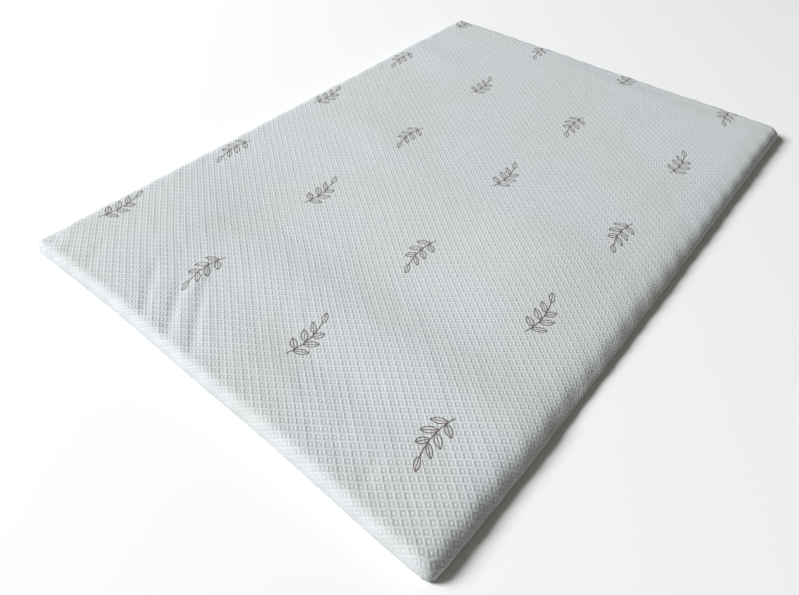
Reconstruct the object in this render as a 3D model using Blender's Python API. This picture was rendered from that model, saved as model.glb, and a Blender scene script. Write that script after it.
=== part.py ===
"""Mattress topper for a 1.40 by 2.00 m bed: one padded slab in a close-fitting knitted cover.

+X runs across the width, +Y along the length and +Z up. The origin is under the middle of the
topper, on the surface that it lies on. Lengths are in metres.
"""

import math
from collections import namedtuple

import bmesh
import bpy
from mathutils import Vector

NAME = "mattress_topper"

# Driving sizes
WIDTH = 1.400  # across the two ends
LENGTH = 2.000
THICKNESS = 0.050  # in the middle, before the creases lower or raise it
CROWN = 0.003  # rise of the middle above the shoulders
CORNER_RADIUS = 0.045  # reach of the rounding of the four corners, seen from above
CORNER_BAND = 0.100  # a corner changes the sides this far along them
SHOULDER_RADIUS = 0.031  # where the top turns down into the sides
FOOT_RADIUS = 0.009  # where the sides turn under

# How full each corner is: its side (1 at +X, -1 at -X), its end (1 at +Y, -1 at -Y), the fullness
# of its outline seen from above and of its shoulders, and its height as a share of the sides'. A
# fullness above that of a round bends more sharply.
ROUND_FILL = 2.0
Corner = namedtuple("Corner", "side end outline_fill shoulder_fill height")
CORNERS = (
    Corner(-1, -1, 10.0, 3.0, 0.920),
    Corner(1, -1, 6.0, 2.0, 1.000),
    Corner(-1, 1, 10.0, 2.0, 0.970),
    Corner(1, 1, 2.5, 2.0, 0.970),
)

# Fullness of the sides between the corners
SIDE_BULGE = 0.012  # the long side at +X stands out this far
SIDE_BULGE_PLACE = 0.30  # its fullest point, as a share of the length from the -Y end

# Where the end at -Y pulls in: the X of the place, how far the pull reaches to each side of it
# and how deep it is.
Pull = namedtuple("Pull", "centre reach depth")
END_PULLS = (
    Pull(-0.270, 0.420, 0.0092),
    Pull(0.190, 0.420, 0.0072),
)

# Slack of the cover along its edges, as two uneven waves
EDGE_RIPPLE = 0.0012
EDGE_RIPPLE_LONG = 0.310  # length of the long wave
EDGE_RIPPLE_LONG_SHARE = 0.5
EDGE_RIPPLE_SHORT = 0.087
EDGE_RIPPLE_SHORT_SHARE = 0.5
EDGE_RIPPLE_SHIFT = 1.3  # radians that the short wave runs ahead
EDGE_RIPPLE_BAND = 0.090  # width of the rippled strip, from the side inwards

# Spacing of the points that carry the relief
COARSE_STEP = 0.044
FINE_STEP = 0.012
FINE_X = (-0.400, 0.000)  # where the narrow folds of the end lie
FINE_Y = (-0.943, -0.720)

CORNER_STEPS = 8
SHOULDER_STEPS = 5
FOOT_STEPS = 3
FLAT_TOLERANCE = 1e-5
SMOOTH_ANGLE = math.radians(50)

# The cover's main creases and hollows, each along a line on the top. The width is how far the
# relief spreads to the left of the line and to the right, seen from its start. A positive depth
# is a soft trough and a negative one a soft ridge.
CREASE_FADE = 0.35  # share of its length over which a crease fades out, at each end
Crease = namedtuple("Crease", "start_x start_y end_x end_y left_width right_width depth")
CREASES = (
    Crease(-0.850, -0.445, 1.450, -0.475, 0.440, 0.190, 0.0086),  # old packing fold across
    Crease(-0.600, -0.600, 0.280, -0.500, 0.500, 0.180, 0.0044),  # where it widens to the left
    Crease(-0.310, -0.400, -0.285, -0.960, 0.360, 0.160, 0.0034),  # hollow that meets it
    Crease(-0.400, -0.790, 0.900, -0.770, 0.150, 0.100, 0.0020),  # hollow near the end
    Crease(-0.040, -0.810, 0.480, -0.800, 0.120, 0.100, 0.0027),
    Crease(0.000, -0.965, 0.600, -0.965, 0.050, 0.050, -0.0016),  # raised rim of the end
    Crease(-0.560, 0.080, -0.120, -0.030, 0.100, 0.140, -0.0020),  # soft ridges of the far part
    Crease(-0.820, 0.640, -0.340, 0.590, 0.120, 0.140, -0.0028),
    Crease(0.330, 0.120, 0.470, -0.600, 0.260, 0.260, -0.0056),
    Crease(-0.250, 0.965, 0.850, 0.965, 0.040, 0.085, 0.0045),  # the far end sags a little
    Crease(0.720, -1.500, 0.720, 1.500, 0.110, 0.050, 0.0075),  # as does the long side
    Crease(0.680, -0.400, 0.680, 0.750, 0.220, 0.040, 0.0040),
    Crease(0.712, -1.500, 0.712, 0.450, 0.062, 0.030, 0.0060),
    Crease(-1.900, -1.008, 1.900, -1.008, 0.050, 0.030, -0.0042),  # the near end is firmer
    Crease(-0.285, -0.815, -0.085, -1.020, 0.024, 0.024, 0.0030),  # folds that run to the end
    Crease(-0.235, -0.775, 0.010, -1.020, 0.022, 0.022, 0.0024),
    Crease(-0.395, -0.825, -0.185, -1.010, 0.022, 0.022, 0.0022),
    Crease(-0.400, -0.815, -0.280, -0.900, 0.018, 0.018, 0.0014),
    Crease(-0.285, -0.715, -0.190, -0.865, 0.022, 0.022, -0.0026),  # ridge that leads to them
    Crease(0.460, -0.860, 0.492, -0.985, 0.022, 0.022, 0.0014),
)

COVER_COLOUR = (0.585, 0.617, 0.631, 1.0)  # pale blue-grey white
COVER_ROUGHNESS = 0.85


def clear_scene():
    """Remove whatever the scene holds."""
    for old in list(bpy.data.objects):
        bpy.data.objects.remove(old, do_unlink=True)


def new_collection(name):
    """Make a collection in the scene."""
    collection = bpy.data.collections.new(name)
    bpy.context.scene.collection.children.link(collection)
    return collection


def cover_material():
    """Matt knitted cloth."""
    material = bpy.data.materials.new("cover_cloth")
    material.use_nodes = True
    shader = material.node_tree.nodes["Principled BSDF"]
    shader.inputs["Base Color"].default_value = COVER_COLOUR
    shader.inputs["Roughness"].default_value = COVER_ROUGHNESS
    shader.inputs["Metallic"].default_value = 0.0
    return material


def smooth_step(low, high, value):
    """0 below low, 1 above high and a smooth rise between them."""
    share = min(max((value - low) / (high - low), 0.0), 1.0)
    return share * share * (3.0 - 2.0 * share)


def soft_hump(share):
    """1 in the middle, falling smoothly to 0 where share reaches 1."""
    return 0.5 * (1.0 + math.cos(math.pi * min(abs(share), 1.0)))


def level_edges(bm, height):
    """The edges that lie at one height."""
    return [
        edge
        for edge in bm.edges
        if all(abs(vert.co.z - height) < FLAT_TOLERANCE for vert in edge.verts)
    ]


def upright_edges(bm):
    """The edges that run straight up."""
    return [
        edge
        for edge in bm.edges
        if (edge.verts[0].co - edge.verts[1].co).xy.length < FLAT_TOLERANCE
    ]


def round_edges(bm, edges, radius, steps):
    """Round edges off to a radius."""
    bmesh.ops.bevel(
        bm,
        geom=edges,
        offset=radius,
        offset_type="OFFSET",
        segments=steps,
        profile=0.5,
        affect="EDGES",
        clamp_overlap=False,
    )


def rounded_slab(bm):
    """A slab with rounded corners, soft shoulders and a small radius at its foot."""
    height = THICKNESS - CROWN
    bmesh.ops.create_cube(bm, size=1.0)
    bmesh.ops.scale(bm, vec=(WIDTH, LENGTH, height), verts=bm.verts)
    bmesh.ops.translate(bm, vec=(0.0, 0.0, height / 2.0), verts=bm.verts)
    round_edges(bm, upright_edges(bm), CORNER_RADIUS, CORNER_STEPS)
    round_edges(bm, level_edges(bm, height), SHOULDER_RADIUS, SHOULDER_STEPS)
    round_edges(bm, level_edges(bm, 0.0), FOOT_RADIUS, FOOT_STEPS)


def even_places(start, stop, step):
    """Evenly spaced places beyond start, up to and at stop."""
    count = max(1, round((stop - start) / step))
    return [start + (stop - start) * index / count for index in range(1, count + 1)]


def cut_places(size, fine):
    """Places to cut the slab between its corners, closer together where the folds are."""
    reach = size / 2.0 - CORNER_RADIUS
    places = (
        even_places(-reach, fine[0], COARSE_STEP)
        + even_places(fine[0], fine[1], FINE_STEP)
        + even_places(fine[1], reach, COARSE_STEP)
    )
    return places[:-1]


def slice_slab(bm, direction, places):
    """Cut the slab across a direction, leaving its flat base in one piece."""
    for place in places:
        upper = [face for face in bm.faces if max(vert.co.z for vert in face.verts) > FLAT_TOLERANCE]
        bmesh.ops.bisect_plane(
            bm,
            geom=list(bm.verts) + list(bm.edges) + upper,
            dist=FLAT_TOLERANCE,
            plane_co=direction * place,
            plane_no=direction,
        )


def fan_base(bm):
    """Divide the flat base into triangles that meet near its middle."""
    base = [face for face in bm.faces if max(vert.co.z for vert in face.verts) < FLAT_TOLERANCE]
    bmesh.ops.poke(bm, faces=base)


def crease_relief(x, y):
    """How far the creases lower a point on the top."""
    relief = 0.0
    for crease in CREASES:
        run = Vector((crease.end_x - crease.start_x, crease.end_y - crease.start_y))
        offset = Vector((x - crease.start_x, y - crease.start_y))
        along = offset.dot(run) / run.length_squared
        aside = run.cross(offset) / run.length
        width = crease.left_width if aside > 0.0 else crease.right_width
        ends = smooth_step(0.0, CREASE_FADE, along) * smooth_step(0.0, CREASE_FADE, 1.0 - along)
        relief += crease.depth * ends * soft_hump(aside / width)
    return relief


def crown_rise(x, y):
    """How far the padding lifts a point on the top."""
    across = 1.0 - (2.0 * x / WIDTH) ** 2
    along = 1.0 - (2.0 * y / LENGTH) ** 2
    return CROWN * max(across, 0.0) * max(along, 0.0)


def edge_ripple(along):
    """Slack of the cover at a place along an edge, from -1 to 1."""
    long_wave = math.sin(math.tau * along / EDGE_RIPPLE_LONG)
    short_wave = math.sin(math.tau * along / EDGE_RIPPLE_SHORT + EDGE_RIPPLE_SHIFT)
    return EDGE_RIPPLE_LONG_SHARE * long_wave + EDGE_RIPPLE_SHORT_SHARE * short_wave


def side_bulge(y):
    """How far the long side at +X stands out at a place along the length."""
    share = min(max(0.5 + y / LENGTH, 0.0), 1.0)
    power = math.log(0.5) / math.log(SIDE_BULGE_PLACE)
    return SIDE_BULGE * math.sin(math.pi * share**power)


def end_draw_in(x):
    """How far the end at -Y pulls in at a place across the width."""
    return sum(pull.depth * soft_hump((x - pull.centre) / pull.reach) for pull in END_PULLS)


def nearest_corner(x, y):
    """The corner that lies nearest to a point."""
    return next(corner for corner in CORNERS if corner.side * x >= 0.0 and corner.end * y >= 0.0)


def fill_push(first, second, power):
    """How much further out the padding fills a rounding at a point of it, as a share."""
    if min(first, second) <= 0.0:
        return 0.0
    return math.hypot(first, second) / (first**power + second**power) ** (1.0 / power) - 1.0


def fill_shoulder(vert):
    """Push a point of the shoulder near a corner outwards and up, and bring it to its height."""
    x, y, z = vert.co
    corner = nearest_corner(x, y)
    half_width = WIDTH / 2.0
    half_length = LENGTH / 2.0
    away_x = max(abs(x) - half_width + CORNER_RADIUS, 0.0)
    away_y = max(abs(y) - half_length + CORNER_RADIUS, 0.0)
    away = math.hypot(away_x, away_y)
    out = 1.0 - (CORNER_RADIUS - away) / SHOULDER_RADIUS
    up = 1.0 - (THICKNESS - CROWN - z) / SHOULDER_RADIUS
    near = smooth_step(half_width - CORNER_BAND, half_width - SHOULDER_RADIUS, abs(x))
    near *= smooth_step(half_length - CORNER_BAND, half_length - SHOULDER_RADIUS, abs(y))
    push = fill_push(out, up, ROUND_FILL + (corner.shoulder_fill - ROUND_FILL) * near)
    if push > 0.0:
        vert.co.x += math.copysign(away_x / away * out * push * SHOULDER_RADIUS, x)
        vert.co.y += math.copysign(away_y / away * out * push * SHOULDER_RADIUS, y)
        vert.co.z += up * push * SHOULDER_RADIUS
    vert.co.z *= 1.0 - (1.0 - corner.height) * near


def fill_corner(vert):
    """Push a point near a corner outwards, because the padding fills the cover's corners."""
    x, y, _ = vert.co
    into_x = (abs(x) - WIDTH / 2.0) / CORNER_RADIUS + 1.0
    into_y = (abs(y) - LENGTH / 2.0) / CORNER_RADIUS + 1.0
    push = fill_push(into_x, into_y, nearest_corner(x, y).outline_fill) * CORNER_RADIUS
    vert.co.x += math.copysign(into_x * push, x)
    vert.co.y += math.copysign(into_y * push, y)


def soften(vert):
    """Move one point of the slab to where the filled and creased cover has it."""
    x, y, z = vert.co
    half_width = WIDTH / 2.0
    half_length = LENGTH / 2.0
    above_foot = smooth_step(FOOT_RADIUS, THICKNESS - CROWN, z)
    mid_height = math.sin(math.pi * min(z / THICKNESS, 1.0))
    side_slack = EDGE_RIPPLE * edge_ripple(y + x)
    side_slack *= smooth_step(half_width - EDGE_RIPPLE_BAND, half_width, abs(x))
    end_slack = EDGE_RIPPLE * edge_ripple(x - y)
    end_slack *= smooth_step(half_length - EDGE_RIPPLE_BAND, half_length, abs(y))
    vert.co.x += math.copysign(side_slack * mid_height, x)
    vert.co.y += math.copysign(end_slack * mid_height, y)
    vert.co.z += above_foot * (crown_rise(x, y) - crease_relief(x, y) + side_slack + end_slack)
    vert.co.x += side_bulge(y) * (0.5 + x / WIDTH)
    vert.co.y += end_draw_in(x) * (0.5 - y / LENGTH)


def centre_on_origin(bm):
    """Bring the middle of the topper's outline over the origin."""
    across = [vert.co.x for vert in bm.verts]
    along = [vert.co.y for vert in bm.verts]
    middle = Vector((min(across) + max(across), min(along) + max(along), 0.0)) / 2.0
    bmesh.ops.translate(bm, vec=-middle, verts=bm.verts)


def build_topper(collection):
    """The whole topper as one solid."""
    bm = bmesh.new()
    rounded_slab(bm)
    slice_slab(bm, Vector((1.0, 0.0, 0.0)), cut_places(WIDTH, FINE_X))
    slice_slab(bm, Vector((0.0, 1.0, 0.0)), cut_places(LENGTH, FINE_Y))
    fan_base(bm)
    for vert in bm.verts:
        fill_shoulder(vert)
        fill_corner(vert)
        soften(vert)
    centre_on_origin(bm)
    bmesh.ops.recalc_face_normals(bm, faces=bm.faces)
    mesh = bpy.data.meshes.new(NAME)
    bm.to_mesh(mesh)
    bm.free()
    mesh.shade_smooth()
    mesh.set_sharp_from_angle(angle=SMOOTH_ANGLE)
    mesh.materials.append(cover_material())
    topper = bpy.data.objects.new("topper", mesh)
    collection.objects.link(topper)
    return topper


def main():
    clear_scene()
    build_topper(new_collection(NAME))


main()
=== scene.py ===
import math

import bmesh
import bpy
import numpy as np
from mathutils import Matrix, Vector


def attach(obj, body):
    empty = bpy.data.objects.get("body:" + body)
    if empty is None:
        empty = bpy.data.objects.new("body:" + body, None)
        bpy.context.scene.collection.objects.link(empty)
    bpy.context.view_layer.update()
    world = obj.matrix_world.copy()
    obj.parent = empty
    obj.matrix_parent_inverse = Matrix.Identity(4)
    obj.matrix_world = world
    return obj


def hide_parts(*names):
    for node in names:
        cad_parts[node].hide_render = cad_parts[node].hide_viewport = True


# Mattress topper in a knitted cover with small raised diamonds. Lengths are in metres:
# X across the width, Y along the length, Z up, the floor at 0.

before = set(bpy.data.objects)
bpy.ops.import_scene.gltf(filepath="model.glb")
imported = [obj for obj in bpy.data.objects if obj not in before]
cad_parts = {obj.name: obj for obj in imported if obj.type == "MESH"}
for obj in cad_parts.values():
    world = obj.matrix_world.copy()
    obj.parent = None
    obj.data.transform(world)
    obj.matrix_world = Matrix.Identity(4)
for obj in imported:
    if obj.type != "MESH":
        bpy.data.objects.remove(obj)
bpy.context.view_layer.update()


photoCamera = {
    "imageWidth": 799,
    "focalPixels": 621.2,
    "sensorWidth": 36.0,  # millimetres
    "position": (0.9012, -1.3514, 1.1867),
    "direction": (-0.43884, 0.53434, -0.72242),
    "roll": math.radians(0.916),
    "nearest": 0.05,  # what lies nearer or farther isn't seen
    "farthest": 60.0,
}


def addCamera(values):
    data = bpy.data.cameras.new("photoCamera")
    data.sensor_fit = "HORIZONTAL"
    data.sensor_width = values["sensorWidth"]
    data.lens = values["focalPixels"] * values["sensorWidth"] / values["imageWidth"]
    data.clip_start = values["nearest"]
    data.clip_end = values["farthest"]
    camera = bpy.data.objects.new("photoCamera", data)
    bpy.context.scene.collection.objects.link(camera)
    look = Vector(values["direction"]).to_track_quat("-Z", "Y").to_matrix().to_4x4()
    turn = Matrix.Rotation(values["roll"], 4, "Z")
    camera.matrix_world = Matrix.Translation(values["position"]) @ look @ turn
    bpy.context.scene.camera = camera


addCamera(photoCamera)
print("camera placed")


coverForm = {
    "width": 1.400,  # across the two ends
    "length": 2.000,
    "thickness": 0.050,  # at the crown
    "crown": 0.003,
    "cornerReach": 0.045,  # rounding of the corners, seen from above
    "cornerBand": 0.100,  # a corner changes the sides this far along them
    "shoulder": 0.031,  # radius where the top turns down
    "foot": 0.009,  # radius where the side turns under
    "tuckUnder": 0.016,  # cloth turned in under the foot
    "sideBulge": 0.012,  # the long side at +X stands out this far
    "sideBulgePlace": 0.30,  # its fullest point, as a share of the length
    "ripple": 0.0012,  # slack along the edges, as two uneven waves
    "rippleLong": 0.310,
    "rippleLongShare": 0.5,
    "rippleShort": 0.087,
    "rippleShortShare": 0.5,
    "rippleShift": 1.3,
    "rippleBand": 0.090,  # width of the rippled strip, from the side inwards
    "creaseFade": 0.35,  # a crease fades out over this share of its length, at each end
    "slopeStep": 0.0015,  # points this far apart give the slope of the cloth
}
tiny = 1e-9  # keeps a division away from zero

# How full each corner is: its side, its end, the fullness of its outline seen from above and of
# its shoulders, and its height as a share of the sides'. A fullness above that of a round bends
# more sharply.
roundFill = 2.0
cornerFill = [
    (-1, -1, 10.0, 3.0, 0.920),
    (1, -1, 6.0, 2.0, 1.000),
    (-1, 1, 10.0, 2.0, 0.970),
    (1, 1, 2.5, 2.0, 0.970),
]

# Where the end at -Y pulls in: the x of the place, how far the pull reaches to each side of it
# and how deep it is.
endPulls = [
    (-0.270, 0.420, 0.0092),
    (0.190, 0.420, 0.0072),
]

# Main creases of the top, each along a line: start x and y, end x and y, how far it spreads
# to the left of the line and to the right, and its depth. A negative depth is a soft ridge.
mainCreases = [
    (-0.850, -0.445, 1.450, -0.475, 0.440, 0.190, 0.0086),  # old packing fold across
    (-0.600, -0.600, 0.280, -0.500, 0.500, 0.180, 0.0044),  # where it widens to the left
    (-0.310, -0.400, -0.285, -0.960, 0.360, 0.160, 0.0034),  # hollow that meets it
    (-0.400, -0.790, 0.900, -0.770, 0.150, 0.100, 0.0020),  # hollow near the end
    (-0.040, -0.810, 0.480, -0.800, 0.120, 0.100, 0.0027),
    (0.000, -0.965, 0.600, -0.965, 0.050, 0.050, -0.0016),  # raised rim of the end
    (-0.560, 0.080, -0.120, -0.030, 0.100, 0.140, -0.0020),  # soft ridges of the far part
    (-0.820, 0.640, -0.340, 0.590, 0.120, 0.140, -0.0028),
    (0.330, 0.120, 0.470, -0.600, 0.260, 0.260, -0.0056),
    (-0.250, 0.965, 0.850, 0.965, 0.040, 0.085, 0.0045),  # the far end sags a little
    (0.720, -1.500, 0.720, 1.500, 0.110, 0.050, 0.0075),  # as does the long side
    (0.680, -0.400, 0.680, 0.750, 0.220, 0.040, 0.0040),
    (0.712, -1.500, 0.712, 0.450, 0.062, 0.030, 0.0060),
    (-1.900, -1.008, 1.900, -1.008, 0.050, 0.030, -0.0042),  # the near end is firmer
    (-0.285, -0.815, -0.085, -1.020, 0.024, 0.024, 0.0030),  # folds that run to the end
    (-0.235, -0.775, 0.010, -1.020, 0.022, 0.022, 0.0024),
    (-0.395, -0.825, -0.185, -1.010, 0.022, 0.022, 0.0022),
    (-0.400, -0.815, -0.280, -0.900, 0.018, 0.018, 0.0014),
    (-0.285, -0.715, -0.190, -0.865, 0.022, 0.022, -0.0026),  # ridge that leads to them
    (0.460, -0.860, 0.492, -0.985, 0.022, 0.022, 0.0014),
]

# Small puckers, in the same columns.
smallPuckers = [
    (-0.280, -0.488, 0.030, -0.458, 0.022, 0.022, -0.0009),  # thin ridge along the packing fold
    (-0.270, -0.498, -0.120, -0.545, 0.018, 0.018, 0.0006),
    (-0.625, -0.372, -0.560, -0.420, 0.016, 0.016, 0.0010),  # puckers by the left side
    (-0.655, -0.392, -0.585, -0.448, 0.016, 0.016, 0.0010),
    (-0.670, -0.430, -0.610, -0.480, 0.014, 0.014, 0.0006),
    (-0.590, 0.300, -0.550, 0.270, 0.016, 0.016, -0.0010),
    (-0.400, 0.020, -0.200, -0.120, 0.018, 0.018, -0.0006),
    (-0.370, 0.060, -0.220, -0.070, 0.016, 0.016, -0.0005),
    (0.520, -0.970, 0.625, -0.900, 0.014, 0.014, -0.0009),  # across the front corner
    (0.490, -0.955, 0.600, -0.895, 0.014, 0.014, 0.0008),
    (0.575, -0.975, 0.645, -0.925, 0.014, 0.014, 0.0009),
    (0.150, -0.775, 0.220, -0.815, 0.016, 0.016, 0.0006),
    (0.200, -0.775, 0.280, -0.840, 0.016, 0.016, 0.0006),
    (0.170, -0.845, 0.280, -0.875, 0.018, 0.018, 0.0006),
    (-0.650, -0.880, -0.560, -0.980, 0.020, 0.020, 0.0008),
    (-0.560, -0.870, -0.470, -0.975, 0.020, 0.020, 0.0007),
]


def smoothStep(low, high, value):
    share = np.clip((value - low) / (high - low), 0.0, 1.0)
    return share * share * (3.0 - 2.0 * share)


def softHump(share):
    return 0.5 * (1.0 + np.cos(np.pi * np.minimum(np.abs(share), 1.0)))


# How far the creases lower each point.
def creaseRelief(x, y, creases, fade):
    relief = np.zeros_like(x)
    for startX, startY, endX, endY, leftWidth, rightWidth, depth in creases:
        runX = endX - startX
        runY = endY - startY
        length = math.hypot(runX, runY)
        along = ((x - startX) * runX + (y - startY) * runY) / length**2
        away = ((y - startY) * runX - (x - startX) * runY) / length
        width = np.where(away > 0.0, leftWidth, rightWidth)
        ends = smoothStep(0.0, fade, along) * smoothStep(0.0, fade, 1.0 - along)
        relief += depth * ends * softHump(away / width)
    return relief


# Slack of the cover at a place along an edge.
def edgeSlack(along, form):
    longWave = np.sin(math.tau * along / form["rippleLong"])
    shortWave = np.sin(math.tau * along / form["rippleShort"] + form["rippleShift"])
    waves = form["rippleLongShare"] * longWave + form["rippleShortShare"] * shortWave
    return form["ripple"] * waves


# Place of the cloth a run away from the flat top: how far out and how high.
def sideProfile(run, form):
    height = form["thickness"] - form["crown"]
    shoulder = form["shoulder"]
    foot = form["foot"]
    shoulderRun = shoulder * math.pi / 2.0
    bandRun = height - shoulder - foot
    footRun = foot * math.pi / 2.0
    turn = np.clip(run / shoulder, 0.0, math.pi / 2.0)
    out = shoulder * np.sin(turn)
    up = height - shoulder * (1.0 - np.cos(turn))
    up = up - np.clip(run - shoulderRun, 0.0, bandRun)
    under = np.clip((run - shoulderRun - bandRun) / foot, 0.0, math.pi / 2.0)
    out = out - foot * (1.0 - np.cos(under))
    up = up - foot * np.sin(under)
    out = out - np.maximum(run - shoulderRun - bandRun - footRun, 0.0)
    return out, up


# Length of cloth from the edge of the flat top to the end of the part tucked under.
def clothReach(form):
    height = form["thickness"] - form["crown"]
    turns = (form["shoulder"] + form["foot"]) * math.pi / 2.0
    return turns + height - form["shoulder"] - form["foot"] + form["tuckUnder"]


# Place of a point of the flat cloth once it is drawn over the padding.
def drawCloth(across, along, form):
    halfWidth = form["width"] / 2.0
    halfLength = form["length"] / 2.0
    inner = form["cornerReach"] - form["shoulder"]
    coreX = halfWidth - form["cornerReach"]
    coreY = halfLength - form["cornerReach"]
    baseX = np.clip(across, -coreX, coreX)
    baseY = np.clip(along, -coreY, coreY)
    away = np.hypot(across - baseX, along - baseY)
    safe = np.maximum(away, tiny)
    outX = (across - baseX) / safe
    outY = (along - baseY) / safe
    out, up = sideProfile(np.maximum(away - inner, 0.0), form)
    reach = np.minimum(away, inner) + np.where(away > inner, out, 0.0)
    x = baseX + outX * reach
    y = baseY + outY * reach
    near, outline, shoulder, height = cornerShares(x, y, form)
    pushOut, pushUp = fillShoulder(out, up, roundFill + (shoulder - roundFill) * near, form)
    x, y = fillCorner(x + outX * pushOut, y + outY * pushOut, outline, form)
    return soften(x, y, (up + pushUp) * (1.0 - (1.0 - height) * near), form)


# How near a point is to its corner, from 0 to 1, and the fullness and height of that corner.
def cornerShares(x, y, form):
    outline = np.zeros_like(x)
    shoulder = np.zeros_like(x)
    height = np.zeros_like(x)
    for side, end, outlineFill, shoulderFill, heightShare in cornerFill:
        nearest = (x * side >= 0.0) & (y * end >= 0.0)
        outline = np.where(nearest, outlineFill, outline)
        shoulder = np.where(nearest, shoulderFill, shoulder)
        height = np.where(nearest, heightShare, height)
    near = 1.0
    for half, place in ((form["width"] / 2.0, x), (form["length"] / 2.0, y)):
        near = near * smoothStep(half - form["cornerBand"], half - form["shoulder"], np.abs(place))
    return near, outline, shoulder, height


# How much further out the padding fills a rounding at a point of it, as a share.
def fillPush(first, second, power):
    full = np.maximum((first**power + second**power) ** (1.0 / power), tiny)
    return np.where(np.minimum(first, second) > 0.0, np.hypot(first, second) / full - 1.0, 0.0)


# How far the padding pushes a point of the shoulder out and up.
def fillShoulder(out, up, power, form):
    shoulder = form["shoulder"]
    intoOut = np.maximum(out / shoulder, 0.0)
    intoUp = np.maximum(1.0 - (form["thickness"] - form["crown"] - up) / shoulder, 0.0)
    push = fillPush(intoOut, intoUp, power) * shoulder
    return intoOut * push, intoUp * push


# Place of a point near a corner once the padding fills the corner, seen from above.
def fillCorner(x, y, power, form):
    reach = form["cornerReach"]
    intoX = np.maximum((np.abs(x) - form["width"] / 2.0) / reach + 1.0, 0.0)
    intoY = np.maximum((np.abs(y) - form["length"] / 2.0) / reach + 1.0, 0.0)
    push = fillPush(intoX, intoY, power) * reach
    return x + np.sign(x) * intoX * push, y + np.sign(y) * intoY * push


# Place of a point of the even slab once its cover is slack, creased and drawn in.
def soften(x, y, z, form):
    halfWidth = form["width"] / 2.0
    halfLength = form["length"] / 2.0
    aboveFoot = smoothStep(form["foot"], form["thickness"] - form["crown"], z)
    midHeight = np.sin(math.pi * np.minimum(z / form["thickness"], 1.0))
    band = form["rippleBand"]
    sideSlack = edgeSlack(y + x, form) * smoothStep(halfWidth - band, halfWidth, np.abs(x))
    endSlack = edgeSlack(x - y, form) * smoothStep(halfLength - band, halfLength, np.abs(y))
    rise = np.maximum(1.0 - (x / halfWidth) ** 2, 0.0) * np.maximum(1.0 - (y / halfLength) ** 2, 0.0)
    hollows = creaseRelief(x, y, mainCreases, form["creaseFade"])
    hollows += creaseRelief(x, y, smallPuckers, form["creaseFade"])
    lift = form["crown"] * rise - hollows + sideSlack + endSlack
    share = np.clip(0.5 + y / form["length"], 0.0, 1.0)
    power = math.log(0.5) / math.log(form["sideBulgePlace"])
    bulge = form["sideBulge"] * np.sin(math.pi * share**power)
    drawIn = sum(depth * softHump((x - centre) / pull) for centre, pull, depth in endPulls)
    newX = x + np.sign(x) * sideSlack * midHeight + bulge * (0.5 + x / form["width"])
    newY = y + np.sign(y) * endSlack * midHeight + drawIn * (0.5 - y / form["length"])
    return np.stack([newX, newY, z + aboveFoot * lift], axis=1)


diamondCloth = {
    "alongA": (0.01376, 0.01102),  # the two directions that the diamonds repeat in
    "alongB": (0.01450, -0.01067),
    "ridgeEdge": 0.22,  # where the ridge ends, as a share of the cell
    "padEdge": 0.37,  # where the raised pad in the middle begins
    "ridgeHeight": 0.00030,
    "grooveDepth": 0.00030,
    "padHeight": 0.00025,
    "unevenness": 0.14,  # how much the height differs from cell to cell
    "sway": 0.038,  # the rows lean over in one long sway along the length
    "swayLength": 4.6,
    "swayCentre": 0.5,
    "spread": 0.030,  # the diamonds are drawn wider at the left side than at the right
    "twist": 0.035,
    "bow": 0.015,  # the rows bow across the width
    "bowAlong": 0.7,  # and along the length, by this share of it
    "lean": 0.021,
    "wander": 0.0015,  # small uneven shifts
    "wanderLength": 0.62,
    "pullMargin": 0.12,  # the pull moves a cell by less than this
    "countShare": 0.6,  # below 1, so that enough cells are laid to cover the sheet
    "seed": 11,
}

# The small uneven shifts across and along, each the sum of two waves: how often the wave comes
# across and along in one wander length, how far into the wave it starts, and its share.
wanderAcross = [
    (0.0, 1.0, 0.7, 1.0),
    (0.57, 1.43, 0.0, 0.6),
]
wanderAlong = [
    (1.0, 0.0, 2.1, 1.0),
    (1.31, -0.47, 0.0, 0.6),
]


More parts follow.
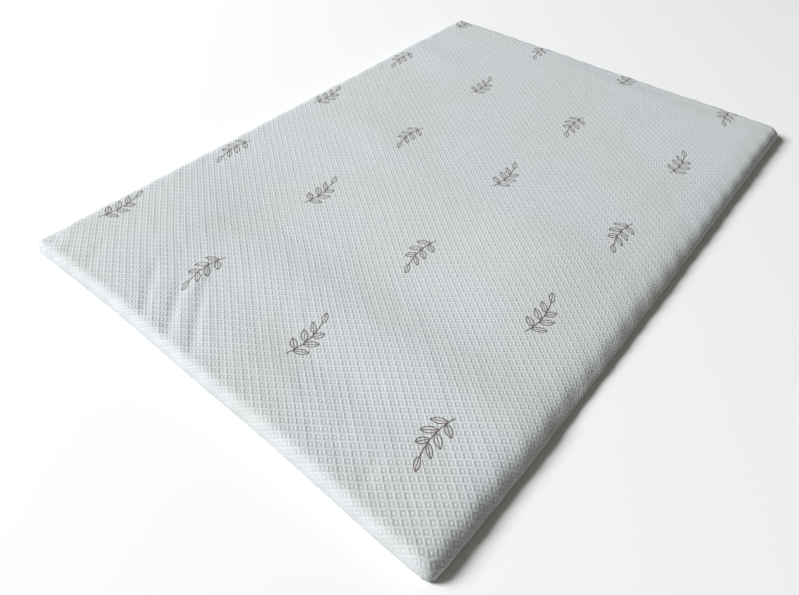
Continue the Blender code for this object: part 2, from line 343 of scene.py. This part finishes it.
# Flat sheet of diamond cells, 9 faces each, with the relief and the cell of each point.
def diamondSheet(cloth, halfX, halfY):
    a = np.array(cloth["alongA"])
    b = np.array(cloth["alongB"])
    span = math.hypot(halfX, halfY)
    steps = int(span / (cloth["countShare"] * min(np.linalg.norm(a), np.linalg.norm(b))))
    i, j = np.meshgrid(np.arange(-steps, steps), np.arange(-steps, steps), indexing="ij")
    origin = i[..., None] * a + j[..., None] * b
    middle = origin + (a + b) / 2.0
    margin = cloth["pullMargin"]
    kept = (np.abs(middle[..., 0]) < halfX + margin) & (np.abs(middle[..., 1]) < halfY + margin)
    cellI = i[kept]
    cellJ = j[kept]
    start = cellI[:, None] * a + cellJ[:, None] * b
    count = len(cellI)
    random = np.random.RandomState(cloth["seed"])
    strength = 1.0 + cloth["unevenness"] * random.uniform(-1.0, 1.0, count)

    # crossings of the ridges, shared by four cells
    wide = 2 * steps + 1
    key = (cellI + steps) * wide + (cellJ + steps)
    cornerKeys = np.stack([key, key + 1, key + wide + 1, key + wide], axis=1)
    unique, cornerIndex = np.unique(cornerKeys, return_inverse=True)
    cornerIndex = cornerIndex.reshape(cornerKeys.shape)
    crossI = unique // wide - steps
    crossJ = unique % wide - steps
    crossings = crossI[:, None] * a + crossJ[:, None] * b
    points = [crossings]
    cells = [np.stack([crossI, crossJ], axis=1)]
    relief = [np.full(len(crossings), cloth["ridgeHeight"])]
    rings = [cornerIndex]
    total = len(crossings)
    grooveRing = (cloth["ridgeEdge"], -cloth["grooveDepth"])
    padRing = (cloth["padEdge"], cloth["padHeight"])
    for edge, height in (grooveRing, padRing):
        low, high = edge, 1.0 - edge
        square = np.array([(low, low), (low, high), (high, high), (high, low)])
        ring = start[:, None, :] + square[None, :, :1] * a + square[None, :, 1:] * b
        points.append(ring.reshape(-1, 2))
        ringCells = np.stack([cellI, cellJ], axis=1)[:, None, :] + square[None, :, :]
        cells.append(ringCells.reshape(-1, 2))
        relief.append(np.repeat(height * strength, 4))
        rings.append(total + np.arange(4 * count).reshape(count, 4))
        total += 4 * count
    faces = [np.stack([rings[2][:, k] for k in range(4)], axis=1)]
    for outer, inner in ((rings[0], rings[1]), (rings[1], rings[2])):
        for k in range(4):
            nextK = (k + 1) % 4
            ring = [outer[:, k], outer[:, nextK], inner[:, nextK], inner[:, k]]
            faces.append(np.stack(ring, axis=1))
    places = pullCloth(np.concatenate(points), cloth)
    return places, np.concatenate(relief), np.concatenate(cells), np.concatenate(faces)


def wander(x, y, waves, cloth):
    k = math.tau / cloth["wanderLength"]
    shift = 0.0
    for across, along, start, share in waves:
        shift = shift + share * np.sin(k * (across * x + along * y) + start)
    return cloth["wander"] * shift


# The cloth was pulled a little out of true as it was sewn, so its rows lean and bow.
def pullCloth(points, cloth):
    x = points[:, 0]
    y = points[:, 1]
    sway = cloth["sway"] * np.sin(math.tau * (y - cloth["swayCentre"]) / cloth["swayLength"])
    pullX = sway - cloth["spread"] * x * x - cloth["twist"] * x * y
    pullY = cloth["bow"] * (x * x - cloth["bowAlong"] * y * y) + cloth["lean"] * x * y
    newX = x + pullX + wander(x, y, wanderAcross, cloth)
    newY = y + pullY + wander(x, y, wanderAlong, cloth)
    return np.stack([newX, newY], axis=1)


cutSnap = 2e-5  # a point this near a cut is moved onto it, which leaves no slivers
cutReach = 0.04  # faces farther in than this are left out of a cut
cornerCuts = 4  # straight cuts that round one corner


# Cuts the flat sheet to a rectangle with rounded corners.
def clipSheet(bm, halfX, halfY, radius):
    cuts = [((1.0, 0.0), halfX), ((-1.0, 0.0), halfX), ((0.0, 1.0), halfY), ((0.0, -1.0), halfY)]
    for signX in (1.0, -1.0):
        for signY in (1.0, -1.0):
            for k in range(cornerCuts):
                angle = (k + 0.5) / cornerCuts * math.pi / 2.0
                normal = (signX * math.cos(angle), signY * math.sin(angle))
                centre = abs(normal[0]) * (halfX - radius) + abs(normal[1]) * (halfY - radius)
                cuts.append((normal, centre + radius))
    for normal, distance in cuts:
        direction = Vector((normal[0], normal[1], 0.0))
        start = distance - cutReach
        near = [face for face in bm.faces if face.calc_center_median().dot(direction) > start]
        verts = dict.fromkeys(vert for face in near for vert in face.verts)  # each once, in order
        edges = dict.fromkeys(edge for face in near for edge in face.edges)
        bmesh.ops.bisect_plane(
            bm,
            geom=list(verts) + list(edges) + near,
            dist=cutSnap,
            plane_co=direction * distance,
            plane_no=direction,
            clear_outer=True,
        )


# The flat sheet, cut to size, with the base that will close it underneath.
def buildCover(form, cloth):
    reach = clothReach(form)
    halfX = form["width"] / 2.0 - form["shoulder"] + reach
    halfY = form["length"] / 2.0 - form["shoulder"] + reach
    points, relief, cells, faces = diamondSheet(cloth, halfX, halfY)
    mesh = bpy.data.meshes.new("topperCover")
    flat = np.column_stack([points, np.zeros(len(points))])
    mesh.from_pydata(flat.tolist(), [], faces.tolist())
    layer = mesh.attributes.new("relief", "FLOAT", "POINT")
    layer.data.foreach_set("value", relief)
    layer = mesh.attributes.new("cell", "FLOAT_VECTOR", "POINT")
    layer.data.foreach_set("vector", np.column_stack([cells, np.zeros(len(cells))]).ravel())
    bm = bmesh.new()
    bm.from_mesh(mesh)
    clipSheet(bm, halfX, halfY, reach + form["cornerReach"] - form["shoulder"])
    isBase = bm.faces.layers.int.new("base")
    isHub = bm.verts.layers.int.new("hub")
    rim = [loop for edge in bm.edges if edge.is_boundary for loop in edge.link_loops]
    ends = [(loop.link_loop_next.vert, loop.vert) for loop in rim]
    hub = bm.verts.new((0.0, 0.0, 0.0))
    hub[isHub] = 1
    for first, second in ends:
        bm.faces.new((first, second, hub))[isBase] = 1
    bm.to_mesh(mesh)
    bm.free()
    return mesh


# Draws the flat sheet over the padding and raises its diamonds.
def shapeCover(mesh, form, cloth):
    count = len(mesh.vertices)
    flat = np.empty(count * 3, dtype=np.float32)
    mesh.vertices.foreach_get("co", flat)
    flat = flat.reshape(-1, 3).astype(float)
    relief = np.empty(count, dtype=np.float32)
    mesh.attributes["relief"].data.foreach_get("value", relief)
    across = flat[:, 0]
    along = flat[:, 1]
    place = drawCloth(across, along, form)
    step = form["slopeStep"]
    tangentX = drawCloth(across + step, along, form) - drawCloth(across - step, along, form)
    tangentY = drawCloth(across, along + step, form) - drawCloth(across, along - step, form)
    normal = np.cross(tangentX, tangentY)
    normal /= np.maximum(np.linalg.norm(normal, axis=1), tiny)[:, None]
    hub = np.empty(count, dtype=np.int32)  # marks the point that the base's triangles meet in
    mesh.attributes["hub"].data.foreach_get("value", hub)
    rise = smoothStep(0.0, form["foot"], place[:, 2]) * relief
    place += normal * rise[:, None]
    place[hub == 1] = 0.0
    place[:, 2] = np.maximum(place[:, 2], 0.0)
    middle = (place.max(axis=0) + place.min(axis=0)) / 2.0
    place[:, :2] -= middle[:2]
    mesh.vertices.foreach_set("co", place.astype(np.float32).ravel())
    addMaps(mesh, flat, place, cloth)
    mesh.update()


baseShift = (0.0, 4.0)  # the base is cut from a part of the cloth this far off
mapMargin = 0.004  # space between the parts of the bake map


# Maps that carry the cloth's own coordinates, so that weave and print lie in the cloth.
def addMaps(mesh, flat, place, cloth):
    corners = np.empty(len(mesh.loops), dtype=np.int32)
    mesh.loops.foreach_get("vertex_index", corners)
    sides = np.empty(len(mesh.polygons), dtype=np.int32)
    mesh.polygons.foreach_get("loop_total", sides)
    baseFace = np.empty(len(mesh.polygons), dtype=np.int32)
    mesh.attributes["base"].data.foreach_get("value", baseFace)
    onBase = np.repeat(baseFace, sides).astype(bool)
    turned = place[:, :2] * (-1.0, 1.0)
    basis = np.linalg.inv(np.array([cloth["alongA"], cloth["alongB"]]).T)
    cells = np.empty(len(mesh.vertices) * 3, dtype=np.float32)
    mesh.attributes["cell"].data.foreach_get("vector", cells)
    cells = cells.reshape(-1, 3)[:, :2]
    baseCells = turned @ basis.T
    weave = np.where(onBase[:, None], baseCells[corners], cells[corners])
    bolt = np.where(onBase[:, None], turned[corners] + baseShift, flat[corners, :2])

    # the bake map holds the cloth's sheet whole, and the base beside it
    half = np.abs(flat[:, :2]).max(axis=0)
    sheet = mapMargin + (flat[:, :2] + half) * (0.5 - mapMargin) / half[1]
    baseStart = sheet[:, 0].max() + mapMargin
    baseHalf = np.abs(turned).max(axis=0)
    baseScale = (1.0 - mapMargin - baseStart) / (2.0 * baseHalf[0])
    base = (turned + baseHalf) * baseScale + (baseStart, mapMargin)
    bake = np.where(onBase[:, None], base[corners], sheet[corners])
    for name, values in (("weave", weave), ("cloth", bolt), ("OFBake", bake)):
        layer = mesh.uv_layers.new(name=name)
        layer.data.foreach_set("uv", values.astype(np.float32).ravel())


def addPiece(mesh, name, material):
    piece = bpy.data.objects.new(name, mesh)
    bpy.context.scene.collection.objects.link(piece)
    mesh.materials.append(material)
    mesh.shade_smooth()
    return piece


def newGroup(name, inputs, outputs):
    group = bpy.data.node_groups.new(name, "ShaderNodeTree")
    for label, kind, value in inputs:
        socket = group.interface.new_socket(name=label, in_out="INPUT", socket_type=kind)
        if value is not None:
            socket.default_value = value
    for label, kind in outputs:
        group.interface.new_socket(name=label, in_out="OUTPUT", socket_type=kind)
    return group, group.nodes.new("NodeGroupInput"), group.nodes.new("NodeGroupOutput")


def mathNode(tree, operation, first, second=None, third=None, clamp=False):
    node = tree.nodes.new("ShaderNodeMath")
    node.operation = operation
    node.use_clamp = clamp
    for index, value in enumerate((first, second, third)):
        if value is None:
            continue
        if isinstance(value, (int, float)):
            node.inputs[index].default_value = value
        else:
            tree.links.new(value, node.inputs[index])
    return node.outputs[0]


# 0 at low and 1 at high, with a soft start and end.
def blendBetween(tree, value, low, high):
    node = tree.nodes.new("ShaderNodeMapRange")
    node.interpolation_type = "SMOOTHSTEP"
    node.inputs["From Min"].default_value = low
    node.inputs["From Max"].default_value = high
    tree.links.new(value, node.inputs["Value"])
    return node.outputs["Result"]


def mixColour(tree, factor, first, second):
    node = tree.nodes.new("ShaderNodeMix")
    node.data_type = "RGBA"
    tree.links.new(factor, node.inputs["Factor"])
    for name, colour in (("A", first), ("B", second)):
        if isinstance(colour, tuple):
            node.inputs[name].default_value = colour
        else:
            tree.links.new(colour, node.inputs[name])
    return node.outputs["Result"]


def noiseNode(tree, vector, scale, detail=2.0):
    node = tree.nodes.new("ShaderNodeTexNoise")
    node.inputs["Scale"].default_value = scale
    node.inputs["Detail"].default_value = detail
    tree.links.new(vector, node.inputs["Vector"])
    return node.outputs["Fac"]


def useGroup(tree, group, vector):
    node = tree.nodes.new("ShaderNodeGroup")
    node.node_tree = group
    tree.links.new(vector, node.inputs["Vector"])
    return node


def uvNode(tree, name):
    node = tree.nodes.new("ShaderNodeUVMap")
    node.uv_map = name
    return node.outputs["UV"]


# Fine relief and tone of one diamond; its groove is grey yarn darkened with painted shade. A pair is
# where a rise starts and ends, as distances from the middle of the cell in shares of it: its edge is
# at 0.5.
diamondWeave = {
    "padFall": (0.04, 0.25),  # the pad falls away here
    "padShare": 0.55,  # its height, where the ridge's is 1
    "grooveStart": (0.14, 0.25),  # the groove, grey yarn with painted shade, starts here
    "grooveEnd": (0.31, 0.40),  # and ends here
    "ridgeRise": (0.25, 0.47),
    "edgeBlend": 0.06,  # how softly the diamond turns its corners
    "ridgeBlend": 0.10,  # how softly two ridges join
    "dipPlaces": (("Y", 0.76), ("X", 0.25)),  # where a ridge sinks under the next, along itself
    "dipReach": (0.02, 0.24),
    "dipDepth": 0.2,
    "jointRise": (0.34, 0.46),  # joint between two ridges, darker like the groove: grey yarn with painted shade where one ridge dips under the next
    "jointTone": 0.9,
    "cellDifference": 0.24,  # how much the relief differs from cell to cell
}


# Ridge, groove and pad of one diamond, from the cell coordinates. The groove's tone is grey yarn with
# painted shade.
def diamondGroup(values):
    group, given, result = newGroup(
        "diamondWeave",
        [("Vector", "NodeSocketVector", None)],
        [("GrooveYarnAndShade", "NodeSocketFloat"), ("Height", "NodeSocketFloat")],
    )
    split = group.nodes.new("ShaderNodeSeparateXYZ")
    group.links.new(given.outputs["Vector"], split.inputs[0])
    distances = []
    for axis in ("X", "Y"):
        within = mathNode(group, "FRACT", split.outputs[axis])
        distances.append(mathNode(group, "ABSOLUTE", mathNode(group, "SUBTRACT", within, 0.5)))
    edge = mathNode(group, "SMOOTH_MAX", distances[0], distances[1], values["edgeBlend"])
    dips = []
    for axis, place in values["dipPlaces"]:
        within = mathNode(group, "FRACT", split.outputs[axis])
        fromDip = mathNode(group, "ABSOLUTE", mathNode(group, "SUBTRACT", within, place))
        outside = blendBetween(group, fromDip, *values["dipReach"])
        dips.append(mathNode(group, "SUBTRACT", 1.0, outside))
    ridges = []
    for distance, dip in zip(distances, dips):
        sunk = mathNode(group, "MULTIPLY_ADD", dip, -values["dipDepth"], 1.0)
        rise = blendBetween(group, distance, *values["ridgeRise"])
        ridges.append(mathNode(group, "MULTIPLY", rise, sunk))
    ridge = mathNode(group, "SMOOTH_MAX", ridges[0], ridges[1], values["ridgeBlend"])
    pad = mathNode(group, "SUBTRACT", 1.0, blendBetween(group, edge, *values["padFall"]))
    inner = blendBetween(group, edge, *values["grooveStart"])
    outer = blendBetween(group, edge, *values["grooveEnd"])
    ring = mathNode(group, "SUBTRACT", inner, outer, clamp=True)
    nearJoint = blendBetween(group, distances[0], *values["jointRise"])
    joint = mathNode(group, "MULTIPLY", nearJoint, dips[0])
    grooveYarnAndShade = mathNode(group, "MULTIPLY_ADD", joint, values["jointTone"], ring, clamp=True)
    cell = group.nodes.new("ShaderNodeVectorMath")
    cell.operation = "FLOOR"
    group.links.new(given.outputs["Vector"], cell.inputs[0])
    difference = group.nodes.new("ShaderNodeTexWhiteNoise")
    difference.noise_dimensions = "2D"
    group.links.new(cell.outputs["Vector"], difference.inputs["Vector"])
    height = mathNode(group, "MULTIPLY_ADD", pad, values["padShare"], ridge)
    spread = values["cellDifference"]
    strength = mathNode(group, "MULTIPLY_ADD", difference.outputs["Value"], spread, 1.0 - spread / 2.0)
    group.links.new(grooveYarnAndShade, result.inputs["GrooveYarnAndShade"])
    group.links.new(mathNode(group, "MULTIPLY", height, strength), result.inputs["Height"])
    return group


# Fine knitted stitches, from the cloth's own coordinates in metres.
def stitchGroup():
    group, given, result = newGroup(
        "knitStitch",
        [
            ("Vector", "NodeSocketVector", None),
            ("Wale", "NodeSocketFloat", 0.0016),
            ("Course", "NodeSocketFloat", 0.0013),
        ],
        [("Height", "NodeSocketFloat")],
    )
    split = group.nodes.new("ShaderNodeSeparateXYZ")
    group.links.new(given.outputs["Vector"], split.inputs[0])
    wale = mathNode(group, "DIVIDE", split.outputs["X"], given.outputs["Wale"])
    centred = mathNode(group, "SUBTRACT", mathNode(group, "FRACT", wale), 0.5)
    inWale = mathNode(group, "ABSOLUTE", centred)
    course = mathNode(group, "DIVIDE", split.outputs["Y"], given.outputs["Course"])
    slanted = mathNode(group, "FRACT", mathNode(group, "ADD", course, inWale))
    bow = mathNode(group, "SINE", mathNode(group, "MULTIPLY", slanted, math.pi))
    column = mathNode(group, "SINE", mathNode(group, "MULTIPLY", inWale, math.tau))
    group.links.new(mathNode(group, "MULTIPLY", bow, column), result.inputs["Height"])
    return group


# Slack of the cloth: long faint creases that run with the rows, from the cell coordinates.
def slackGroup():
    group, given, result = newGroup(
        "slackCreases",
        [
            ("Vector", "NodeSocketVector", None),
            ("Across", "NodeSocketFloat", 2.0),
            ("Along", "NodeSocketFloat", 9.0),
        ],
        [("Height", "NodeSocketFloat")],
    )
    split = group.nodes.new("ShaderNodeSeparateXYZ")
    group.links.new(given.outputs["Vector"], split.inputs[0])
    place = group.nodes.new("ShaderNodeCombineXYZ")
    for axis, name in (("X", "Across"), ("Y", "Along")):
        scaled = mathNode(group, "DIVIDE", split.outputs[axis], given.outputs[name])
        group.links.new(scaled, place.inputs[axis])
    creases = noiseNode(group, place.outputs["Vector"], scale=1.0, detail=1.5)
    group.links.new(creases, result.inputs["Height"])
    return group


printedSprig = {
    "spacing": (0.385, 0.430),  # the sprigs stand in straight rows, this far apart
    "shift": (0.060, 0.120),
    "stemLength": 0.120,
    "stemWidth": 0.0032,
    "stemBow": 0.010,
    "edgeSoftness": 0.0007,
    "leafRim": 0.0028,  # width of the line that draws each leaf
    "veinShare": 0.8,  # width of its vein, as a share of that
}

# Leaves of the sprig: where each joins the stem (from its foot, as a share), how far it turns
# away from the stem in degrees, its length and its greatest width.
sprigLeaves = [
    (0.14, 58.0, 0.038, 0.0150),
    (0.20, -58.0, 0.038, 0.0150),
    (0.38, 50.0, 0.040, 0.0160),
    (0.45, -50.0, 0.040, 0.0160),
    (0.62, 42.0, 0.036, 0.0145),
    (0.70, -42.0, 0.036, 0.0145),
    (1.00, 0.0, 0.034, 0.0150),
]


# A leaf drawn as an outline with a vein, pointing along +Y from the place given.
def leafGroup(veinShare):
    group, given, result = newGroup(
        "leafOutline",
        [
            ("Vector", "NodeSocketVector", None),
            ("Across", "NodeSocketFloat", 0.0),
            ("Along", "NodeSocketFloat", 0.0),
            ("Turn", "NodeSocketFloat", 0.0),
            ("Length", "NodeSocketFloat", 0.03),
            ("Width", "NodeSocketFloat", 0.012),
            ("Rim", "NodeSocketFloat", 0.002),
            ("Softness", "NodeSocketFloat", 0.0005),
        ],
        [("Mask", "NodeSocketFloat")],
    )
    place = group.nodes.new("ShaderNodeCombineXYZ")
    group.links.new(given.outputs["Across"], place.inputs["X"])
    group.links.new(given.outputs["Along"], place.inputs["Y"])
    turn = group.nodes.new("ShaderNodeVectorRotate")
    turn.rotation_type = "Z_AXIS"
    group.links.new(given.outputs["Vector"], turn.inputs["Vector"])
    group.links.new(place.outputs["Vector"], turn.inputs["Center"])
    group.links.new(given.outputs["Turn"], turn.inputs["Angle"])
    own = group.nodes.new("ShaderNodeVectorMath")
    own.operation = "SUBTRACT"
    group.links.new(turn.outputs["Vector"], own.inputs[0])
    group.links.new(place.outputs["Vector"], own.inputs[1])
    split = group.nodes.new("ShaderNodeSeparateXYZ")
    group.links.new(own.outputs["Vector"], split.inputs[0])
    side = mathNode(group, "ABSOLUTE", split.outputs["X"])
    share = mathNode(group, "DIVIDE", split.outputs["Y"], given.outputs["Length"])
    inside = mathNode(group, "SUBTRACT", 1.0, share)
    full = mathNode(group, "MULTIPLY", mathNode(group, "MULTIPLY", share, inside), 2.0)  # 0.5 half-way
    reach = mathNode(group, "MULTIPLY", full, given.outputs["Width"])
    toRim = mathNode(group, "SUBTRACT", side, reach)
    halfRim = mathNode(group, "MULTIPLY", given.outputs["Rim"], 0.5)
    rim = mathNode(group, "SUBTRACT", mathNode(group, "ABSOLUTE", toRim), halfRim)
    vein = mathNode(group, "SUBTRACT", side, mathNode(group, "MULTIPLY", halfRim, veinShare))
    line = mathNode(group, "MINIMUM", rim, vein)
    covered = mathNode(group, "DIVIDE", line, given.outputs["Softness"])
    ink = mathNode(group, "SUBTRACT", 0.5, covered, clamp=True)
    pastFoot = mathNode(group, "GREATER_THAN", share, 0.0)
    beforeTip = mathNode(group, "LESS_THAN", share, 1.0)
    within = mathNode(group, "MULTIPLY", pastFoot, beforeTip)
    group.links.new(mathNode(group, "MULTIPLY", ink, within), result.inputs["Mask"])
    return group


# Printed sprigs in straight rows, every other one turned round.
def sprigGroup(values, leaves):
    group, given, result = newGroup(
        "printedSprig",
        [("Vector", "NodeSocketVector", None)],
        [("Mask", "NodeSocketFloat")],
    )
    split = group.nodes.new("ShaderNodeSeparateXYZ")
    group.links.new(given.outputs["Vector"], split.inputs[0])
    own = []
    cells = []
    for axis, spacing, shift in zip(("X", "Y"), values["spacing"], values["shift"]):
        scaled = mathNode(group, "DIVIDE", mathNode(group, "ADD", split.outputs[axis], shift), spacing)
        cells.append(mathNode(group, "FLOOR", scaled))
        centred = mathNode(group, "SUBTRACT", mathNode(group, "FRACT", scaled), 0.5)
        own.append(mathNode(group, "MULTIPLY", centred, spacing))
    odd = mathNode(group, "FLOORED_MODULO", mathNode(group, "ADD", cells[0], cells[1]), 2.0)
    flip = mathNode(group, "MULTIPLY_ADD", odd, -2.0, 1.0)
    across = mathNode(group, "MULTIPLY", own[0], flip)
    along = mathNode(group, "MULTIPLY", own[1], flip)
    share = mathNode(group, "DIVIDE", along, values["stemLength"])
    bow = mathNode(group, "MULTIPLY", mathNode(group, "MULTIPLY", share, share), 4.0)  # 1 at the ends
    straight = mathNode(group, "MULTIPLY_ADD", bow, values["stemBow"], across)
    bent = group.nodes.new("ShaderNodeCombineXYZ")
    group.links.new(straight, bent.inputs["X"])
    group.links.new(along, bent.inputs["Y"])
    fromStem = mathNode(group, "ABSOLUTE", straight)
    side = mathNode(group, "SUBTRACT", fromStem, values["stemWidth"] / 2.0)
    covered = mathNode(group, "DIVIDE", side, values["edgeSoftness"])
    stem = mathNode(group, "SUBTRACT", 0.5, covered, clamp=True)
    onStem = mathNode(group, "LESS_THAN", mathNode(group, "ABSOLUTE", share), 0.5)
    mask = mathNode(group, "MULTIPLY", stem, onStem)
    outline = leafGroup(values["veinShare"])
    for joint, turn, length, width in leaves:
        leaf = useGroup(group, outline, bent.outputs["Vector"])
        leaf.inputs["Along"].default_value = (joint - 0.5) * values["stemLength"]
        leaf.inputs["Turn"].default_value = math.radians(turn)
        leaf.inputs["Length"].default_value = length
        leaf.inputs["Width"].default_value = width
        leaf.inputs["Rim"].default_value = values["leafRim"]
        leaf.inputs["Softness"].default_value = values["edgeSoftness"]
        mask = mathNode(group, "MAXIMUM", mask, leaf.outputs["Mask"])
    group.links.new(mask, result.inputs["Mask"])
    return group


coverMaterial = {
    "ridgeColour": (0.632, 0.660, 0.672, 1.0),
    # the grooves' grey yarn, darkened further with painted shade
    "grooveYarnAndShadeColour": (0.485, 0.512, 0.528, 1.0),
    "tintColour": (0.608, 0.630, 0.596, 1.0),
    "inkColour": (0.135, 0.098, 0.080, 1.0),
    "inkStrength": 1.0,
    "soakScale": 260.0,  # the ink soaks in unevenly
    "soakSpread": 0.5,
    "soakLeast": 0.72,
    "tintScale": 2.2,
    "tintRange": (0.35, 0.70),
    "roughness": 0.86,
    "sheen": 0.03,
    "shine": 0.20,
    "weaveBump": 0.00069,
    "stitchBump": 0.00012,
    "stitchWale": 0.0016,  # width of a stitch
    "stitchCourse": 0.0013,  # and its height
    "slackBump": 0.0016,  # height of the faint creases by the end at -Y
    "slackAcross": 1.7,  # their spacing, in cells
    "slackAlong": 8.0,
    "slackFade": (-0.30, -0.80),  # they grow to that height between these places along the length
    "slackFar": 0.33,  # share of it that they have before
    # Painted highlight: on the lit sides at -X and -Y the diamonds' tone is evened out as if washed
    # out by the light, and their bump is flattened there too.
    "washOutStart": (-0.665, -0.965),  # x and y where that starts
    "washOutEnd": (-0.715, -1.020),  # and where they are flattest
    "washOutShare": 0.80,  # by how much
    "washOutTone": 0.50,  # tone that is left there, between the ridges and the grooves
}


def coverClothMaterial(values):
    material = bpy.data.materials.new("coverCloth")
    material.use_nodes = True
    tree = material.node_tree
    shader = tree.nodes["Principled BSDF"]
    clothPlace = uvNode(tree, "cloth")
    weavePlace = uvNode(tree, "weave")
    diamond = useGroup(tree, diamondGroup(diamondWeave), weavePlace)
    stitch = useGroup(tree, stitchGroup(), clothPlace)
    stitch.inputs["Wale"].default_value = values["stitchWale"]
    stitch.inputs["Course"].default_value = values["stitchCourse"]
    sprig = useGroup(tree, sprigGroup(printedSprig, sprigLeaves), clothPlace)

    split = tree.nodes.new("ShaderNodeSeparateXYZ")
    tree.links.new(clothPlace, split.inputs[0])
    startX, startY = values["washOutStart"]
    endX, endY = values["washOutEnd"]
    # painted highlight: the diamonds' tone is evened out and their bump flattened on the lit sides
    washOutX = blendBetween(tree, split.outputs["X"], startX, endX)
    washOutY = blendBetween(tree, split.outputs["Y"], startY, endY)
    paintedWashOut = mathNode(tree, "MULTIPLY", mathNode(tree, "MAXIMUM", washOutX, washOutY), values["washOutShare"])
    patternLeft = mathNode(tree, "SUBTRACT", 1.0, paintedWashOut)
    ownGrooveAndShade = mathNode(tree, "MULTIPLY", diamond.outputs["GrooveYarnAndShade"], patternLeft)
    grooveYarnAndShade = mathNode(tree, "MULTIPLY_ADD", paintedWashOut, values["washOutTone"], ownGrooveAndShade)

    patches = noiseNode(tree, clothPlace, values["tintScale"])
    tinted = blendBetween(tree, patches, *values["tintRange"])
    plain = mixColour(tree, tinted, values["ridgeColour"], values["tintColour"])
    # grooves and joints take the grey yarn colour with painted shade
    woven = mixColour(tree, grooveYarnAndShade, plain, values["grooveYarnAndShadeColour"])
    specks = noiseNode(tree, clothPlace, values["soakScale"])
    soak = (values["soakSpread"], values["soakLeast"])
    soaked = mathNode(tree, "MULTIPLY_ADD", specks, *soak, clamp=True)
    depth = mathNode(tree, "MULTIPLY", soaked, values["inkStrength"])
    ink = mathNode(tree, "MULTIPLY", sprig.outputs["Mask"], depth)
    tree.links.new(mixColour(tree, ink, woven, values["inkColour"]), shader.inputs["Base Color"])

    slack = useGroup(tree, slackGroup(), weavePlace)
    slack.inputs["Across"].default_value = values["slackAcross"]
    slack.inputs["Along"].default_value = values["slackAlong"]
    grown = blendBetween(tree, split.outputs["Y"], *values["slackFade"])
    near = mathNode(tree, "MULTIPLY_ADD", grown, 1.0 - values["slackFar"], values["slackFar"])
    slackHeight = mathNode(tree, "MULTIPLY", slack.outputs["Height"], near)
    slackBump = tree.nodes.new("ShaderNodeBump")
    slackBump.inputs["Distance"].default_value = values["slackBump"]
    tree.links.new(slackHeight, slackBump.inputs["Height"])
    weaveBump = tree.nodes.new("ShaderNodeBump")
    tree.links.new(slackBump.outputs["Normal"], weaveBump.inputs["Normal"])
    weaveBump.inputs["Distance"].default_value = values["weaveBump"]
    weaveHeight = mathNode(tree, "MULTIPLY", diamond.outputs["Height"], patternLeft)
    tree.links.new(weaveHeight, weaveBump.inputs["Height"])
    stitchBump = tree.nodes.new("ShaderNodeBump")
    stitchBump.inputs["Distance"].default_value = values["stitchBump"]
    tree.links.new(stitch.outputs["Height"], stitchBump.inputs["Height"])
    tree.links.new(weaveBump.outputs["Normal"], stitchBump.inputs["Normal"])
    tree.links.new(stitchBump.outputs["Normal"], shader.inputs["Normal"])
    shader.inputs["Roughness"].default_value = values["roughness"]
    shader.inputs["Sheen Weight"].default_value = values["sheen"]
    shader.inputs["Specular IOR Level"].default_value = values["shine"]
    return material


print("making the cover")
coverMesh = buildCover(coverForm, diamondCloth)
shapeCover(coverMesh, coverForm, diamondCloth)
cover = addPiece(coverMesh, "topperCover", coverClothMaterial(coverMaterial))
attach(cover, "root")
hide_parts("topper")
print("cover made,", len(coverMesh.polygons), "faces")


studio = {
    "floorSize": 30.0,
    "floorColour": (0.86, 0.86, 0.86, 1.0),
    "floorRoughness": 0.9,
    "worldColour": (1.0, 0.95, 0.82, 1.0),
    "worldStrength": 0.14,
    "wallColour": (0.93, 0.93, 0.93, 1.0),
    "keyDirection": (-0.78, -0.60, 0.69),
    "keyDistance": 24.0,
    "keySize": 9.0,
    "keyPower": 9620.0,
    "keyColour": (0.985, 1.0, 1.03),
}


def addWorld(values):
    world = bpy.data.worlds.new("paleRoom")
    bpy.context.scene.world = world
    world.use_nodes = True
    tree = world.node_tree
    glow = tree.nodes["Background"]
    glow.inputs["Color"].default_value = values["worldColour"]
    glow.inputs["Strength"].default_value = values["worldStrength"]
    wall = tree.nodes.new("ShaderNodeBackground")  # seen beyond the floor, and lights nothing
    wall.inputs["Color"].default_value = values["wallColour"]
    rays = tree.nodes.new("ShaderNodeLightPath")
    choice = tree.nodes.new("ShaderNodeMixShader")
    tree.links.new(rays.outputs["Is Camera Ray"], choice.inputs["Fac"])
    tree.links.new(glow.outputs["Background"], choice.inputs[1])
    tree.links.new(wall.outputs["Background"], choice.inputs[2])
    tree.links.new(choice.outputs["Shader"], tree.nodes["World Output"].inputs["Surface"])


def addFloor(values):
    bm = bmesh.new()
    bmesh.ops.create_grid(bm, x_segments=1, y_segments=1, size=values["floorSize"] / 2.0)
    mesh = bpy.data.meshes.new("floor")
    bm.to_mesh(mesh)
    bm.free()
    material = bpy.data.materials.new("paleFloor")
    material.use_nodes = True
    shader = material.node_tree.nodes["Principled BSDF"]
    shader.inputs["Base Color"].default_value = values["floorColour"]
    shader.inputs["Roughness"].default_value = values["floorRoughness"]
    floor = addPiece(mesh, "floor", material)


def addWindow(values):
    lamp = bpy.data.lights.new("window", "AREA")
    lamp.shape = "SQUARE"
    lamp.size = values["keySize"]
    lamp.energy = values["keyPower"]
    lamp.color = values["keyColour"]
    light = bpy.data.objects.new("window", lamp)
    bpy.context.scene.collection.objects.link(light)
    direction = Vector(values["keyDirection"]).normalized()
    light.location = direction * values["keyDistance"]
    light.rotation_euler = (-direction).to_track_quat("-Z", "Y").to_euler()


bpy.context.scene.view_settings.view_transform = "Standard"
addWorld(studio)
addFloor(studio)
addWindow(studio)
print("studio set")
